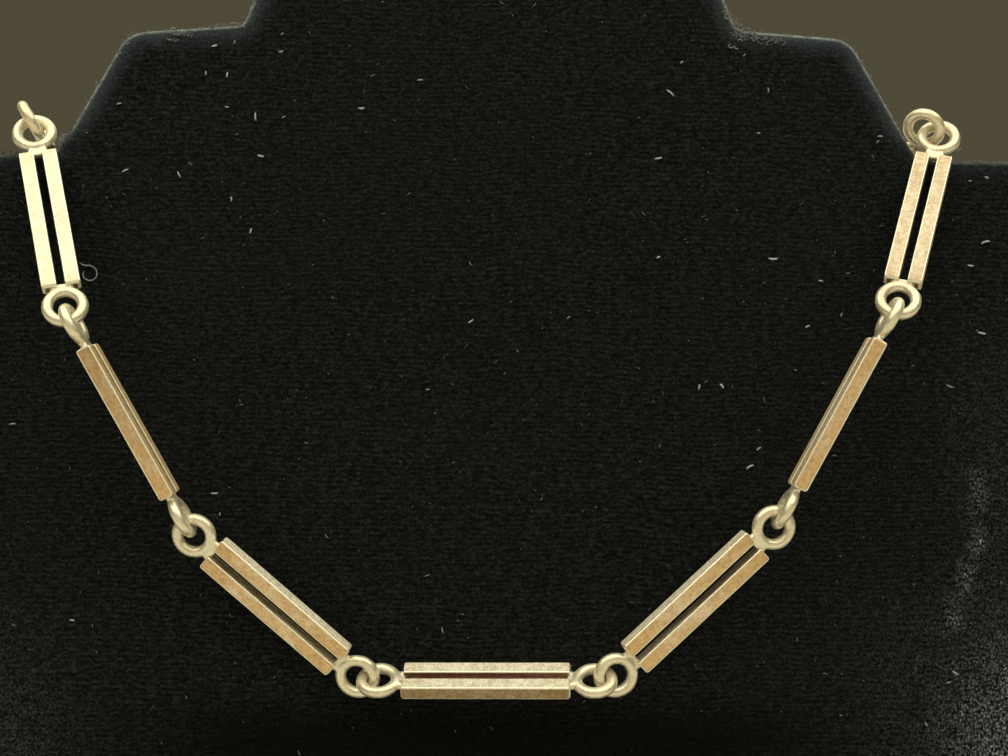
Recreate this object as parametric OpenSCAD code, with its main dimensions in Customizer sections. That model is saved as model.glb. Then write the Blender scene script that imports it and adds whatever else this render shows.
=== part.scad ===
// Silver necklace of long double-bar links on a stepped, padded neck display.
// Millimetres. Z is up, X runs from left to right, Y points away from the viewer.
// The origin is the middle of the flat edge that the display stands on.
// The necklace is laid out in the plane of the upright display, then everything leans back.

/* [Link] */
// Thickness and width of each square bar
bar_w = 2; // [1.6:0.1:2.2]
// Length of each bar
bar_len = 22.4; // [20:0.1:23]
// Gap between the two bars of a link
bar_gap = 1.1; // [0.9:0.1:1.4]
// Broken edge along the bars
edge_break = 0.15; // [0.05:0.05:0.3]
// Outer diameter of the rings
ring_d = 6.1; // [6:0.05:6.2]
// Diameter of the ring wire
ring_wire = 1.5; // [1.3:0.05:1.5]
// Distance from the bar ends to the ring centre on most links
ring_reach = 3.15; // [3.1:0.05:3.2]
// Play between two rings that pass through each other
ring_play = 0.1; // [0.05:0.05:0.2]

/* [Solder] */
// Half width of the solder where it runs onto the bar ends
solder_w = 1.75; // [1.2:0.05:2]
// Thickness of the solder between ring and bars
solder_t = 1.2; // [0.8:0.1:1.3]
// Angle around the ring that the solder covers on each side
solder_angle = 40; // [30:5:50]
// Depth that the solder runs in between the bars
solder_run = 0.5; // [0.3:0.1:1]

/* [Clasp] */
// Diameter of the barrel
clasp_d = 4; // [3:0.1:4.5]
// Width of the rounded rim at each end of the barrel
clasp_rim = 0.5; // [0.3:0.1:0.8]
// Turn of the clasp about its own length
clasp_roll = 21; // [19:1:23]

/* [Display] */
// Height of the display along its own face
board_h = 200; // [190:1:215]
// Thickness of the padded board
board_t = 3; // [2.5:0.1:3]
// Radius of the padded rim
board_rim = 1.3; // [1:0.1:1.4]
// Angle that the display leans back
board_lean = 18; // [15:1:20]
// Small turn of the shoulder line against the base
board_skew = 0.4; // [0:0.1:0.5]

/* [Leg] */
// Height on the display where the leg folds off
leg_h = 62; // [50:1:70]
// Height of the tab that holds the leg to the display
leg_tab = 14; // [10:1:20]
// Distance of the foot behind the display
leg_out = 62; // [50:1:75]
// Width of the leg at the fold
leg_top_w = 34; // [25:1:45]
// Width of the leg at the floor
leg_foot_w = 52; // [40:1:70]
// Thickness of the leg
leg_t = 2.4; // [2:0.1:3]
// Thickness of the tab
tab_t = 1.2; // [1:0.1:1.6]

/* [Hidden] */
$fn = 48;

silver = [0.80, 0.74, 0.60];
velvet_black = [0.06, 0.06, 0.06];
board_black = [0.13, 0.12, 0.12];

// Small distance that separates pieces, or carries one solid into another
gap = 0.1;
// Radius of the ring at the middle of its wire
ring_r = (ring_d - ring_wire) / 2;
// Middle of each bar, away from the middle of the link
bar_mid = (bar_gap + bar_w) / 2;

// Each row is one link, in the order of the chain from the clasp round to the clasp.
// heading: 0 runs to the right, 90 runs straight down, 180 runs to the left
// lean: how far the far end swings towards the viewer
// roll: turn about its own length, 0 has both bars side by side on the board
// first, last: distance from the bar ends to the first and the last ring centre
near_reach = 2.9;
far_reach = 3.6;
mid_reach = 3.35;
links = [
    // heading, lean, roll, first, last
    [-153, 8, 88, ring_reach, ring_reach],
    [-128, 14, 1, ring_reach, ring_reach],
    [-119, 45, 94, ring_reach, ring_reach],
    [73.5, 20, -11, far_reach, near_reach],
    [60.4, -9, 96, mid_reach, ring_reach],
    [40.5, -7, 23, ring_reach, ring_reach],
    [-0.5, 6, -51, ring_reach, ring_reach],
    [-43, 3, 18, ring_reach, ring_reach],
    [-61.7, 8, 92, ring_reach, mid_reach],
    [-70, -21, -18, near_reach, far_reach],
    [91, -46, 28, ring_reach, ring_reach],
    [131, -14, 70, ring_reach, ring_reach],
    [157, -7, -45, ring_reach, ring_reach]
];
last_link = len(links) - 1;

// The lowest link in front and the place of its middle on the upright display
middle_link = 6;
middle_at = [-0.2, -4.35, 85];

// Where the chain turns over a shoulder, the step from one ring centre to the next
left_turn = 2;
left_step = [0.7, -1.0, -2.15];
right_turn = 9;
right_step = [-1.8, 0.7, 1.55];

function unit(v) = v / norm(v);

// Turning matrices about one axis each
function turn_x(a) = [[1, 0, 0], [0, cos(a), -sin(a)], [0, sin(a), cos(a)]];
function turn_y(a) = [[cos(a), 0, sin(a)], [0, 1, 0], [-sin(a), 0, cos(a)]];
function turn_z(a) = [[cos(a), -sin(a), 0], [sin(a), cos(a), 0], [0, 0, 1]];

// A pose is [heading, lean, roll]; a link's length lies on its local X, a ring's hole on local Y
function pose(p) = turn_y(p[0]) * turn_z(-p[1]) * turn_x(p[2]);
function along(p) = pose(p) * [1, 0, 0];
function hole(p) = pose(p) * [0, 1, 0];

// The part of a direction that lies in the plane of a ring
function in_ring(v, axis) = unit(v - axis * (v * axis));

// Two rings under tension touch at one point each, a wire's thickness apart.
// This is the step from the last ring centre of pose a to the first ring centre of pose b.
function taut_step(a, b) =
    let (
        pull = unit(along(a) + along(b)),
        reach_a = in_ring(pull, hole(a)),
        reach_b = in_ring(pull, hole(b)),
        across = unit(cross(cross(hole(a), reach_a), cross(hole(b), reach_b))),
        back = across * pull > 0 ? across : -across
    )
    ring_r * reach_a + ring_r * reach_b - (ring_wire + ring_play) * back;

function ring_step(i) =
    i == left_turn ? left_step
    : i == right_turn ? right_step
    : taut_step(links[i], links[i + 1]);

// From the middle of a link to its first and its last ring centre
function to_first(i) = -along(links[i]) * (bar_len / 2 + links[i][3]);
function to_last(i) = along(links[i]) * (bar_len / 2 + links[i][4]);

// The middle of each link follows from its neighbour on the side of the lowest link
function link_at(i) =
    i == middle_link ? middle_at
    : i > middle_link ? link_at(i - 1) + to_last(i - 1) + ring_step(i - 1) - to_first(i)
    : link_at(i + 1) + to_first(i + 1) - ring_step(i) - to_last(i);

// The clasp spans from the last ring of the chain to the first one
clasp_from = link_at(last_link) + to_last(last_link);
clasp_to = link_at(0) + to_first(0);

function heading_of(v) = atan2(-v[2], v[0]);
function lean_of(v) = asin(-v[1] / norm(v));
function clasp_pose(v) = [heading_of(v), lean_of(v), clasp_roll];

// The span between the clasp's own two ring centres, found by a few rounds of correction
function clasp_span(v, rounds) =
    rounds == 0 ? v
    : clasp_span(
        clasp_to - clasp_from
        - taut_step(links[last_link], clasp_pose(v))
        - taut_step(clasp_pose(v), links[0]),
        rounds - 1
    );

span = clasp_span(clasp_to - clasp_from, 12);
clasp_at = clasp_from + taut_step(links[last_link], clasp_pose(span)) + span / 2;

// Places a piece that is drawn along X on the upright display
module posed(at, p) {
    translate(at)
        rotate([0, p[0], 0])
            rotate([0, 0, -p[1]])
                rotate([p[2], 0, 0])
                    children();
}

// Leans the upright layout back about its foot, so that its level base straddles Y = 0
base_depth = board_t / cos(board_lean);
module leaned() {
    translate([0, -base_depth / 2, 0])
        rotate([-board_lean, 0, 0])
            children();
}

// Square outline with its corners cut
module broken_square(a, b) {
    x = a / 2;
    y = b / 2;
    e = edge_break;
    polygon([
        [x - e, y], [-x + e, y], [-x, y - e], [-x, -y + e],
        [-x + e, -y], [x - e, -y], [x, -y + e], [x, y - e]
    ]);
}

// Square bar along X with all its edges broken
module bar() {
    intersection() {
        rotate([0, 90, 0])
            linear_extrude(bar_len, center = true)
                broken_square(bar_w, bar_w);
        linear_extrude(bar_w, center = true)
            broken_square(bar_len, bar_w);
        rotate([90, 0, 0])
            linear_extrude(bar_w, center = true)
                broken_square(bar_len, bar_w);
    }
}

// Wire ring in the XZ plane
module ring() {
    rotate([90, 0, 0])
        rotate_extrude()
            translate([ring_r, 0])
                circle(d = ring_wire);
}

// Ring beyond the bar ends at X = 0, with the solder that joins it to them
module soldered_ring(reach) {
    flank_x = reach - ring_r * cos(solder_angle);
    flank_z = ring_r * sin(solder_angle);
    translate([reach, 0, 0])
        ring();
    rotate([90, 0, 0])
        difference() {
            linear_extrude(solder_t, center = true)
                polygon([
                    [-solder_run, -solder_w], [flank_x, -flank_z],
                    [flank_x, flank_z], [-solder_run, solder_w]
                ]);
            translate([reach, 0, 0])
                cylinder(r = ring_r - gap, h = 2 * solder_t, center = true);
        }
}

// One link: two square bars side by side with a ring soldered to each end
module link(i) {
    color(silver)
        leaned()
            posed(link_at(i), links[i]) {
                for (side = [-1, 1])
                    translate([0, 0, side * bar_mid])
                        bar();
                translate([bar_len / 2, 0, 0])
                    soldered_ring(links[i][4]);
                translate([-bar_len / 2, 0, 0])
                    mirror([1, 0, 0])
                        soldered_ring(links[i][3]);
            }
}

// Plain closed barrel with a soldered ring at each end, one piece
module clasp() {
    half = norm(span) / 2;
    barrel = half - ring_d / 2 + gap;
    color(silver)
        leaned()
            posed(clasp_at, clasp_pose(span)) {
                rotate([0, 90, 0])
                    rotate_extrude()
                        polygon([
                            [0, -barrel], [clasp_d / 2 - clasp_rim, -barrel],
                            [clasp_d / 2, -barrel + clasp_rim], [clasp_d / 2, barrel - clasp_rim],
                            [clasp_d / 2 - clasp_rim, barrel], [0, barrel]
                        ]);
                for (side = [-1, 1])
                    translate([side * half, 0, 0])
                        ring();
            }
}

// Right half of the display outline, from the top of the neck down to below the base
neck_top = 30;
neck_w = 32.5;
neck_foot = 35.2;
neck_foot_h = 176.5;
upper_step_h = 175.3;
upper_step_w = 51.5;
lower_step_h = 157.4;
lower_step_from = 60.9;
lower_step_w = 82;
base_w = 78;
below_base = 8;
outline = [
    // half width, height, radius of the corner
    [neck_top, board_h, 10],
    [neck_w, 184, 30],
    [neck_foot, neck_foot_h, 1.5],
    [upper_step_w, upper_step_h, 4.5],
    [lower_step_from, lower_step_h, 1],
    [lower_step_w, lower_step_h, 6],
    [base_w, -below_base, 0]
];
shoulder_mid_h = 166;

// Points of an arc that rounds the corner b between the points a and c
arc_steps = 5;
function corner(a, b, c, r) =
    r == 0 ? [b]
    : let (
        to_a = unit(a - b),
        to_c = unit(c - b),
        half_angle = acos(to_a * to_c) / 2,
        mid = b + unit(to_a + to_c) * r / sin(half_angle),
        from = b + to_a * r / tan(half_angle) - mid,
        to = b + to_c * r / tan(half_angle) - mid
    )
    [for (k = [0:arc_steps]) mid + r * unit(from * (1 - k / arc_steps) + to * k / arc_steps)];

// The whole outline runs down the right side and back up the left side
function side_points(side) = [for (p = outline) [side * p[0], p[1]]];
function reversed(list) = [for (k = [len(list) - 1:-1:0]) list[k]];
outline_points = concat(side_points(1), reversed(side_points(-1)));
outline_radii = concat([for (p = outline) p[2]], reversed([for (p = outline) p[2]]));
outline_count = len(outline_points);
board_outline = [
    for (k = [0:outline_count - 1])
        each corner(
            outline_points[(k + outline_count - 1) % outline_count],
            outline_points[k],
            outline_points[(k + 1) % outline_count],
            outline_radii[k]
        )
];

// The padded board, upright, with a rounded rim all round
module board_blank() {
    translate([0, board_t / 2, 0])
        minkowski() {
            rotate([90, 0, 0])
                linear_extrude(board_t - 2 * board_rim, center = true)
                    offset(delta = -board_rim)
                        translate([0, shoulder_mid_h])
                            rotate(board_skew)
                                translate([0, -shoulder_mid_h])
                                    polygon(board_outline);
            sphere(board_rim, $fn = 12);
        }
}

module display_board() {
    color(velvet_black)
        difference() {
            leaned()
                board_blank();
            translate([-board_h, -board_h, -board_h])
                cube([2 * board_h, 2 * board_h, board_h]);
        }
}

// Where the leg folds off the back of the display, and where its foot stands
fold = [
    -base_depth / 2 + (board_t + gap) * cos(board_lean) + leg_h * sin(board_lean),
    -(board_t + gap) * sin(board_lean) + leg_h * cos(board_lean)
];
foot = [leg_out, 0];
strut_len = norm(foot - fold);
strut_angle = atan2(foot[0] - fold[0], fold[1]);

// Flat strut from the fold down to the floor, wider at the foot
module strut() {
    translate([0, fold[0], fold[1]])
        rotate([strut_angle - 90, 0, 0])
            translate([0, 0, -leg_t])
                linear_extrude(leg_t)
                    polygon([
                        [-leg_top_w / 2, -leg_t], [leg_top_w / 2, -leg_t],
                        [leg_foot_w / 2, strut_len + leg_t * 2], [-leg_foot_w / 2, strut_len + leg_t * 2]
                    ]);
}

// Flat tab that lies against the back of the display above the fold
module tab() {
    leaned()
        translate([-leg_top_w / 2, board_t + gap, leg_h - leg_t])
            cube([leg_top_w, tab_t, leg_tab + leg_t]);
}

module easel_leg() {
    color(board_black)
        union() {
            difference() {
                strut();
                leaned()
                    translate([-board_h, board_t + gap - board_h, -board_h / 2])
                        cube([2 * board_h, board_h, 2 * board_h]);
                translate([-board_h, -board_h, -board_h])
                    cube([2 * board_h, 3 * board_h, board_h]);
            }
            tab();
        }
}

link(0);  // link_01
link(1);  // link_02
link(2);  // link_03
link(3);  // link_04
link(4);  // link_05
link(5);  // link_06
link(6);  // link_07
link(7);  // link_08
link(8);  // link_09
link(9);  // link_10
link(10);  // link_11
link(11);  // link_12
link(12);  // link_13
clasp();
display_board();
easel_leg();
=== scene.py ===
"""Silver double-bar link necklace on a black velvet neck display with an easel leg."""

import math

import bmesh
import bpy
import numpy as np
from mathutils import Matrix, Vector
from mathutils.geometry import delaunay_2d_cdt


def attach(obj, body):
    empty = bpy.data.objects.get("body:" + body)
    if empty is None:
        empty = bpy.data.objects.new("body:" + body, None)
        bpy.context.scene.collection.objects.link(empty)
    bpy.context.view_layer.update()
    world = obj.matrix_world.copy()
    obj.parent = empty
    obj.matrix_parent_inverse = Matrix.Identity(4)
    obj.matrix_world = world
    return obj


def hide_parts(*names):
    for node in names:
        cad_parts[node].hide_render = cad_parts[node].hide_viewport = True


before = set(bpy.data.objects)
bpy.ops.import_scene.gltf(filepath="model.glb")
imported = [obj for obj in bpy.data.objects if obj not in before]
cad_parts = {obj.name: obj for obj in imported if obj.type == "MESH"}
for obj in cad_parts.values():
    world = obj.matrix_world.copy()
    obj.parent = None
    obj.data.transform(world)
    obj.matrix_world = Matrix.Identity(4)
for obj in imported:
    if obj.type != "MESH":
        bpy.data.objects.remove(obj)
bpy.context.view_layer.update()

MM = 0.001
LINKS = [f"link_{number:02d}" for number in range(1, 14)]

# The display leans back about the middle of the edge that it stands on
BOARD_LEAN = math.radians(18)
BOARD_T = 3.0
BOARD_FOOT = BOARD_T / math.cos(BOARD_LEAN) / 2
BOARD_TURN = Matrix.Rotation(-BOARD_LEAN, 3, "X")


def on_display(x, out, up):
    """A point in metres, from its place in mm on the upright display: right, away from the front, up."""
    return (BOARD_TURN @ Vector((x, out, up)) + Vector((0, -BOARD_FOOT, 0))) * MM


def upright(points):
    """World points in metres, as an array, turned back to millimetres on the upright display."""
    back = np.array(BOARD_TURN)
    return (points / MM + np.array([0, BOARD_FOOT, 0])) @ back


# -------- camera

# The camera that took the photograph: focal length on a 36 mm wide sensor, place and directions on the upright display
LENS_MM = 56.9
SENSOR_MM = 36
CAMERA_AT = (-4.7, -218.85, 98.8)
CAMERA_AHEAD = (0.0306, 0.9919, 0.1232)
CAMERA_RIGHT = (0.9995, -0.0316, 0.0062)


def make_camera():
    """Stands the camera where the photograph was taken from."""
    data = bpy.data.cameras.new("photo_camera")
    data.sensor_width = SENSOR_MM
    data.lens = LENS_MM
    camera = bpy.data.objects.new("photo_camera", data)
    forward = (BOARD_TURN @ Vector(CAMERA_AHEAD)).normalized()
    right = (BOARD_TURN @ Vector(CAMERA_RIGHT)).normalized()
    up = right.cross(forward).normalized()
    right = forward.cross(up)
    turn = Matrix((right, up, -forward)).transposed()
    camera.matrix_world = Matrix.Translation(on_display(*CAMERA_AT)) @ turn.to_4x4()
    bpy.context.scene.collection.objects.link(camera)
    bpy.context.scene.camera = camera


make_camera()


# -------- mesh helpers

def mesh_object(name, vertices, faces, smooth=True):
    mesh = bpy.data.meshes.new(name)
    mesh.from_pydata([tuple(v) for v in vertices], [], [tuple(f) for f in faces])
    mesh.update()
    mesh.polygons.foreach_set("use_smooth", [smooth] * len(mesh.polygons))
    return linked(name, mesh)


def linked(name, mesh):
    piece = bpy.data.objects.new(name, mesh)
    bpy.context.scene.collection.objects.link(piece)
    return piece


def points_of(mesh):
    co = np.empty(len(mesh.vertices) * 3, np.float32)
    mesh.vertices.foreach_get("co", co)
    return co.reshape(-1, 3).astype(float)


def put_points(mesh, points):
    mesh.vertices.foreach_set("co", np.asarray(points, np.float32).ravel())
    mesh.update()


def edges_of(mesh):
    pairs = np.empty(len(mesh.edges) * 2, np.int32)
    mesh.edges.foreach_get("vertices", pairs)
    return pairs.reshape(-1, 2)


def relax(mesh, amount, rounds):
    """Evens the surface out: amount, one number for each vertex, says how far it goes to its neighbours' middle."""
    points, pairs = points_of(mesh), edges_of(mesh)
    count = np.bincount(pairs.ravel(), minlength=len(points))[:, None]
    weight = np.broadcast_to(np.asarray(amount, float), (len(points),))[:, None]
    for _ in range(rounds):
        total = np.zeros_like(points)
        np.add.at(total, pairs[:, 0], points[pairs[:, 1]])
        np.add.at(total, pairs[:, 1], points[pairs[:, 0]])
        points += weight * (total / count - points)
    put_points(mesh, points)


def remeshed(piece, voxel):
    """The object's outer skin in even facets, as a new mesh."""
    modifier = piece.modifiers.new("skin", "REMESH")
    modifier.mode = "VOXEL"
    modifier.voxel_size = voxel
    evaluated = piece.evaluated_get(bpy.context.evaluated_depsgraph_get())
    mesh = bpy.data.meshes.new_from_object(evaluated)
    old = piece.data
    bpy.data.objects.remove(piece)
    bpy.data.meshes.remove(old)
    return mesh


def give_attribute(mesh, name, values, kind="FLOAT", domain="POINT"):
    attribute = mesh.attributes.new(name, kind, domain)
    field = "vector" if kind == "FLOAT_VECTOR" else "value"
    attribute.data.foreach_set(field, np.asarray(values, np.float32).ravel())


# -------- sizes of the links in mm, and how they lie in the frame

BAR_W = 2.0
BAR_LEN = 22.4
BAR_MID = 1.55  # from the link's middle to a bar's middle
RING_WIRE = 1.5
RING_R = 2.3  # to the middle of the wire
RING_OUT = RING_R + RING_WIRE / 2


def faces_of(node):
    """Middle, direction and area of each facet of a CAD node, in mm."""
    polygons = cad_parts[node].data.polygons
    middles = np.array([p.center for p in polygons]) / MM
    normals = np.array([p.normal for p in polygons])
    areas = np.array([p.area for p in polygons]) / MM**2
    return middles, normals, areas


def own_axes(node):
    """The node's length, ring hole and width directions, as rows, and its surface's middle."""
    middles, _, areas = faces_of(node)
    middle = (middles * areas[:, None]).sum(0) / areas.sum()
    away = middles - middle
    _, axes = np.linalg.eigh((away * areas[:, None]).T @ away)
    length = axes[:, 2] if axes[:, 2] @ [1, 0, -0.001] > 0 else -axes[:, 2]
    hole = axes[:, 0] if axes[1, 0] > 0 else -axes[:, 0]
    return np.array([length, hole, np.cross(length, hole)]), middle


def measure_link(node):
    """Where a link lies in the frame, and how far its two ring centres are from the bar ends."""
    axes, middle = own_axes(node)
    middles, normals, areas = faces_of(node)
    flat_ends = (np.abs(normals @ axes[0]) > 0.9999) & (areas > 0.05)
    bar_ends = (middles[flat_ends] - middle) @ axes[0]
    shift = (bar_ends.max() + bar_ends.min()) / 2
    middle = middle + axes[0] * shift
    reach = (points_of(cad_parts[node].data) / MM - middle) @ axes[0]
    return axes, middle, -reach.min() - BAR_LEN / 2 - RING_OUT, reach.max() - BAR_LEN / 2 - RING_OUT


# -------- the silver links

def band(row, next_row, count):
    """Faces between two closed rows of points, from the number of each row's first point."""
    turns = [(j, (j + 1) % count) for j in range(count)]
    return [(row + j, row + n, next_row + n, next_row + j) for j, n in turns]


def torus(centre, around=72, across=24):
    """Points and faces of a wire ring in the XZ plane."""
    points, faces = [], []
    for i in range(around):
        a = 2 * math.pi * i / around
        for j in range(across):
            b = 2 * math.pi * j / across
            r = RING_R + RING_WIRE / 2 * math.cos(b)
            points.append((centre + r * math.cos(a), RING_WIRE / 2 * math.sin(b), r * math.sin(a)))
        faces += band(i * across, (i + 1) % around * across, across)
    return points, faces


def solder_web(reach, half_width=1.3, thick=0.9, into=0.45, cover=math.radians(31), steps=12):
    """Points and faces of the solder between the ring and the bar ends at X = 0."""
    points, faces = [], []
    for i in range(steps + 1):
        t = 2 * i / steps - 1
        a = cover * t
        on_ring = (reach - RING_R * math.cos(a), RING_R * math.sin(a))
        on_bars = (-into, half_width * t)
        for (x, z), y in ((on_ring, 0.45), (on_bars, thick / 2)):
            points += [(x, -y, z), (x, y, z)]
    for i in range(steps):
        k, n = 4 * i, 4 * i + 4
        faces += [(k, n, n + 2, k + 2), (k + 1, k + 3, n + 3, n + 1)]
        faces += [(k, k + 1, n + 1, n), (k + 2, n + 2, n + 3, k + 3)]
    last = 4 * steps
    faces += [(0, 2, 3, 1), (last, last + 1, last + 3, last + 2)]
    return points, faces


def turned(profile, around=64):
    """Points and faces of a closed solid turned about X, from (x, radius) pairs between its two tips."""
    points = [(profile[0][0], 0, 0)]
    for x, r in profile[1:-1]:
        for j in range(around):
            a = 2 * math.pi * j / around
            points.append((x, r * math.cos(a), r * math.sin(a)))
    points.append((profile[-1][0], 0, 0))
    faces = [(0, 1 + (j + 1) % around, 1 + j) for j in range(around)]
    for row in range(1, len(points) - 1 - around, around):
        faces += band(row, row + around, around)
    last = len(points) - 1
    row = last - around
    faces += [(last, row + j, row + (j + 1) % around) for j in range(around)]
    return points, faces


def blob(centre, radii, across=16, down=10):
    """Points and faces of a rounded drop."""
    angles = [math.pi * i / down for i in range(down + 1)]
    points, faces = turned([(-math.cos(b), math.sin(b)) for b in angles], across)
    cx, cy, cz = centre
    rx, ry, rz = radii
    return [(cx + rx * y, cy + ry * z, cz + rz * x) for x, y, z in points], faces


def joined(shapes):
    """Several pairs of points and faces as one pair."""
    faces, start = [], 0
    for points, shape_faces in shapes:
        faces += [tuple(start + k for k in face) for face in shape_faces]
        start += len(points)
    return np.concatenate([np.array(points) for points, _ in shapes]), faces


RING_VOXEL = 0.11
ring_masters = {}


def ring_core(points, reach):
    """For each point of a ring, the nearest point on the middle line of its wire, from the ring's centre."""
    flat = points - [reach, 0, 0]
    r = np.hypot(flat[:, 0], flat[:, 2])
    return flat, np.stack([flat[:, 0] / r * RING_R, 0 * r, flat[:, 2] / r * RING_R], 1)


def ring_master(reach):
    """A ring in one skin with its solder, for bars that end at X = 0. Made once for each reach."""
    key = round(reach, 2)
    if key in ring_masters:
        return ring_masters[key]
    shapes = [torus(reach), solder_web(reach)]
    for side in (-1, 1):
        shapes.append(blob((0.05, 0, side * 1.05), (0.4, 0.62, 0.6)))
    points, faces = joined(shapes)
    mesh = remeshed(mesh_object("ring_master", points, faces), RING_VOXEL)
    near = np.clip((reach - 1.15 - points_of(mesh)[:, 0]) / 0.7, 0, 1)
    relax(mesh, 0.35 + 0.25 * near, 4)
    relax(mesh, 0.6 * near, 10)
    # the free part of the wire goes back to its true round
    points = points_of(mesh)
    flat, core = ring_core(points, reach)
    out = flat - core
    size = np.linalg.norm(out, axis=1)[:, None]
    round_wire = core + out / size * RING_WIRE / 2 + [reach, 0, 0]
    keep = np.clip((points[:, 0] - (reach - 1.7)) / 0.5, 0, 1)[:, None]
    points = points * (1 - keep) + round_wire * keep
    polygons = [tuple(p.vertices) for p in mesh.polygons]
    bpy.data.meshes.remove(mesh)
    ring_masters[key] = points, polygons
    return ring_masters[key]


def waves(points, seed, length, count=5):
    """A smooth, seeded wobble between about -1 and 1 for each point, over the given length."""
    rng = np.random.default_rng(seed)
    total = np.zeros(len(points))
    for _ in range(count):
        direction = rng.normal(size=3)
        direction *= 2 * math.pi / length / np.linalg.norm(direction) * rng.uniform(0.6, 1.3)
        total += np.sin(points @ direction + rng.uniform(0, 2 * math.pi))
    return total / count * 1.4


def soldered_ring(reach, side, seed):
    """One ring with its solder at the bar end on that side, a little uneven from the hand that made it."""
    points, faces = ring_master(reach)
    rng = np.random.default_rng(seed)
    flat, core = ring_core(points, reach)
    swell = 1 + 0.025 * waves(points, seed, 3.5)[:, None] + 0.012 * waves(points, seed + 1, 1.2)[:, None]
    points = core + (flat - core) * np.minimum(swell, 1.02) + [reach, 0, 0]
    if side < 0:
        points = points * [-1, 1, 1]
        faces = [tuple(reversed(face)) for face in faces]
    if rng.random() < 0.5:
        points = points * [1, -1, 1]
        faces = [tuple(reversed(face)) for face in faces]
    return points + [side * BAR_LEN / 2, 0, 0], faces


BAR_ROUND = 0.17  # radius of the long edges
BAR_END = 0.45  # length over which an end is filed rounder
BAR_CUTS = 30
BAR_UNEVEN = 0.012


def bar_master():
    """A square bar along X with rounded edges: points, faces, which faces are on edges, normals and middles."""
    bm = bmesh.new()
    bmesh.ops.create_cube(bm, size=1, matrix=Matrix.Diagonal((BAR_LEN, BAR_W, BAR_W, 1)))
    bmesh.ops.bevel(
        bm, geom=list(bm.edges), offset=BAR_ROUND, segments=3, profile=0.5, affect="EDGES", clamp_overlap=False,
    )
    inner = BAR_LEN / 2 - BAR_END
    cuts = list(np.linspace(-inner, inner, BAR_CUTS))
    cuts += [side * (inner + BAR_END * t) for side in (-1, 1) for t in (0.3, 0.5, 0.65, 0.78)]
    for x in cuts:
        everything = list(bm.verts) + list(bm.edges) + list(bm.faces)
        bmesh.ops.bisect_plane(bm, geom=everything, plane_co=(x, 0, 0), plane_no=(1, 0, 0))
    bm.normal_update()
    bm.verts.ensure_lookup_table()
    points = np.array([v.co for v in bm.verts])
    faces = [tuple(v.index for v in f.verts) for f in bm.faces]
    on_edge = np.array([max(abs(c) for c in f.normal) <= 0.999 for f in bm.faces])
    normals = np.array([f.normal for f in bm.faces])
    middles = np.array([f.calc_center_median() for f in bm.faces])
    # the ends are filed a little rounder than the long edges
    past = np.clip((np.abs(points[:, :1]) - inner) / BAR_END, 0, 1)
    points = points - np.sign(points) * [0, 1, 1] * BAR_END * 0.6 * (1 - np.sqrt(1 - past**2))
    bm.free()
    return points, faces, on_edge, normals, middles


BAR_POINTS, BAR_FACES, BAR_ON_EDGE, BAR_NORMALS, BAR_MIDDLES = bar_master()


def bar(side, seed):
    """The points of one bar of a link, a touch uneven along its faces."""
    wobble = BAR_UNEVEN * waves(BAR_POINTS, seed, 9.0)[:, None]
    return BAR_POINTS - np.sign(BAR_POINTS) * [0, 1, 1] * np.abs(wobble) + [0, 0, side * BAR_MID]


def set_soft_normals(mesh):
    """Shades broad faces flat and rounds only the narrow ones between them."""
    normals = np.zeros((len(mesh.vertices), 3))
    for polygon in mesh.polygons:
        share = np.array(polygon.normal) * polygon.area
        for k in polygon.vertices:
            normals[k] += share
    normals /= np.maximum(np.linalg.norm(normals, axis=1), 1e-12)[:, None]
    mesh.normals_split_custom_set_from_vertices([tuple(n) for n in normals])


# The look of a hidden link. Ahead, above, below and rings: depth of tarnish on faces that look that way and on
# the rings; by the way a face looks it is partly painted light, thinner above and deeper below. Fade: darkening of
# faces ahead at the first end, gone at the last one. Matt: how matt faces above are. Ridge: how matt the edges
# that look up are. Between: the painted shade between the bars, red above 1.
PLAIN_LOOK = {
    "ahead": 0.6, "above": 0.4, "below": 0.7, "rings": 0.25, "rose": 0.2, "fade": 0.0, "matt": 0.78, "ridge": 0.12,
    "between": 0.82,
}
# What differs on the links that the photograph shows
LOOKS = {
    "link_04": {"ahead": 1.00, "above": 0.22, "below": 0.60, "rings": 0.05, "rose": 0.14, "matt": 0.41},
    "link_05": {"ahead": 0.78, "above": 0.80, "below": 0.80, "rings": 0.15, "rose": 0.00, "fade": 0.45, "ridge": 0.62},
    "link_06": {"ahead": 0.74, "above": 0.00, "below": 0.80, "rings": 0.10, "rose": 0.12, "matt": 0.90},
    "link_07": {"ahead": 1.00, "above": 0.02, "below": 0.60, "rings": 0.10, "rose": 0.10, "matt": 0.94, "between": 1.5},
    "link_08": {"ahead": 0.72, "above": 0.12, "below": 0.80, "rings": 0.12, "rose": 0.10},
    "link_09": {"ahead": 0.76, "above": 0.62, "below": 0.80, "rings": 0.18, "rose": 0.04, "ridge": 0.50},
    "link_10": {"ahead": 1.00, "above": 0.42, "below": 0.60, "rings": 0.08, "rose": 0.42},
}
# How matt the rest of the silver is. Edges: those that don't look up.
MATT = {"ahead": 0.42, "below": 0.40, "edges": 0.80, "rings": 0.42}
# strength of the painted shade on faces that look down
SHADE_BELOW = 0.80
FACE_VALUES = ("edge", "tarnish", "matt", "shade", "gap")


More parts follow.
